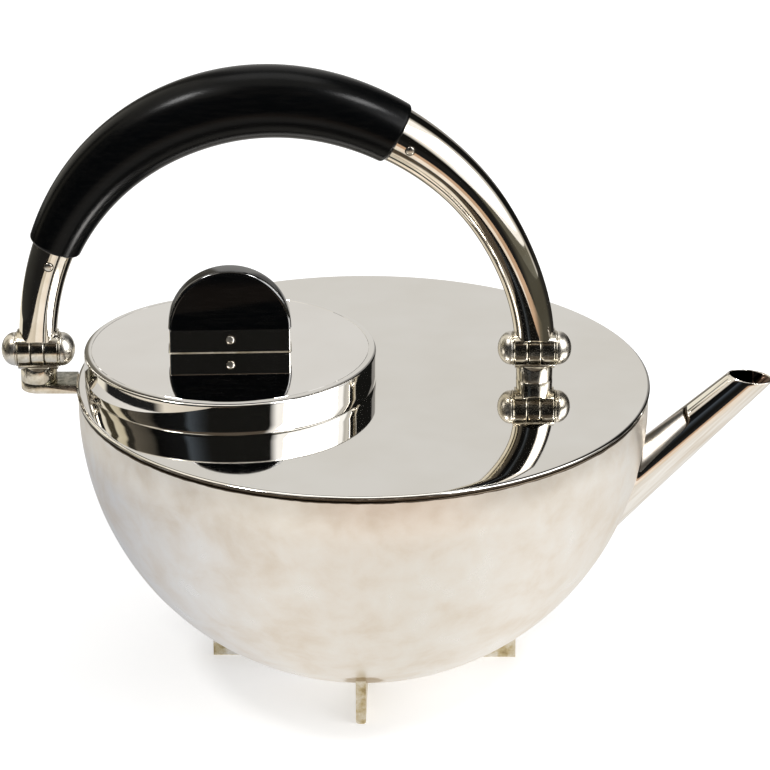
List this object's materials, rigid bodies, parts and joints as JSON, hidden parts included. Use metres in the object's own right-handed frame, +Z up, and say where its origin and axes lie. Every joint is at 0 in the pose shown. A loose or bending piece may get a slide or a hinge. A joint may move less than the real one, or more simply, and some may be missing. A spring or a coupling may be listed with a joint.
{
  "type": "teapot",
  "caption": "Hemispherical silver teapot with flat top, off-centre lift-off lid, black disc knob, straight spout, cross-shaped foot and swinging bail handle.",
  "frame": {"origin": "on the table under the centre of the bowl, on the underside of the foot", "axes": "+X along the spout, +Y across the pot, +Z up"},
  "size_m": [0.2288, 0.17, 0.1891],
  "materials": {
    "polished_silver": "mirror-polished silver",
    "satin_silver": "planished silver, softly polished",
    "foot_silver": "silver with a tan tarnish",
    "handle_silver": "mirror-polished silver, slightly tarnished in the corners",
    "black_wood": "ebonised wood, satin",
    "black_gloss_wood": "ebonised wood, gloss"
  },
  "bodies": {
    "pot": {"body_bowl": "satin_silver", "top_plate": "polished_silver", "neck_ring": "polished_silver", "spout": "polished_silver", "foot_blade_long": "foot_silver", "foot_blade_cross": "foot_silver", "handle_bracket": "handle_silver", "left_post": "handle_silver", "right_post": "handle_silver", "left_lower_bearer": "handle_silver", "right_lower_bearer": "handle_silver", "left_middle_knuckle": "handle_silver", "right_middle_knuckle": "handle_silver"},
    "handle": {"left_outer_knuckles": "handle_silver", "right_outer_knuckles": "handle_silver", "left_upper_bearer": "handle_silver", "right_upper_bearer": "handle_silver", "left_hinge_pin": "handle_silver", "right_hinge_pin": "handle_silver", "left_hinge_washers": "handle_silver", "right_hinge_washers": "handle_silver", "left_hinge_caps": "handle_silver", "right_hinge_caps": "handle_silver", "left_arm": "handle_silver", "right_arm": "handle_silver", "grip": "black_wood", "left_grip_rivet": "handle_silver", "right_grip_rivet": "handle_silver"},
    "lid": {"lid_shell": "polished_silver", "lid_disc": "polished_silver", "lid_flange": "polished_silver", "knob": "black_gloss_wood", "knob_holder": "polished_silver", "knob_rivet": "polished_silver"}
  },
  "joints": [
    {"name": "handle_swing", "type": "hinge", "parent": "pot", "child": "handle", "pos_m": [0, 0, 0.1011], "axis": [1, 0, 0], "range_deg": [-80, 80]},
    {"name": "lid_lift", "type": "slide", "parent": "pot", "child": "lid", "axis": [0, 0, 1], "range_m": [0, 0.03]}
  ]
}
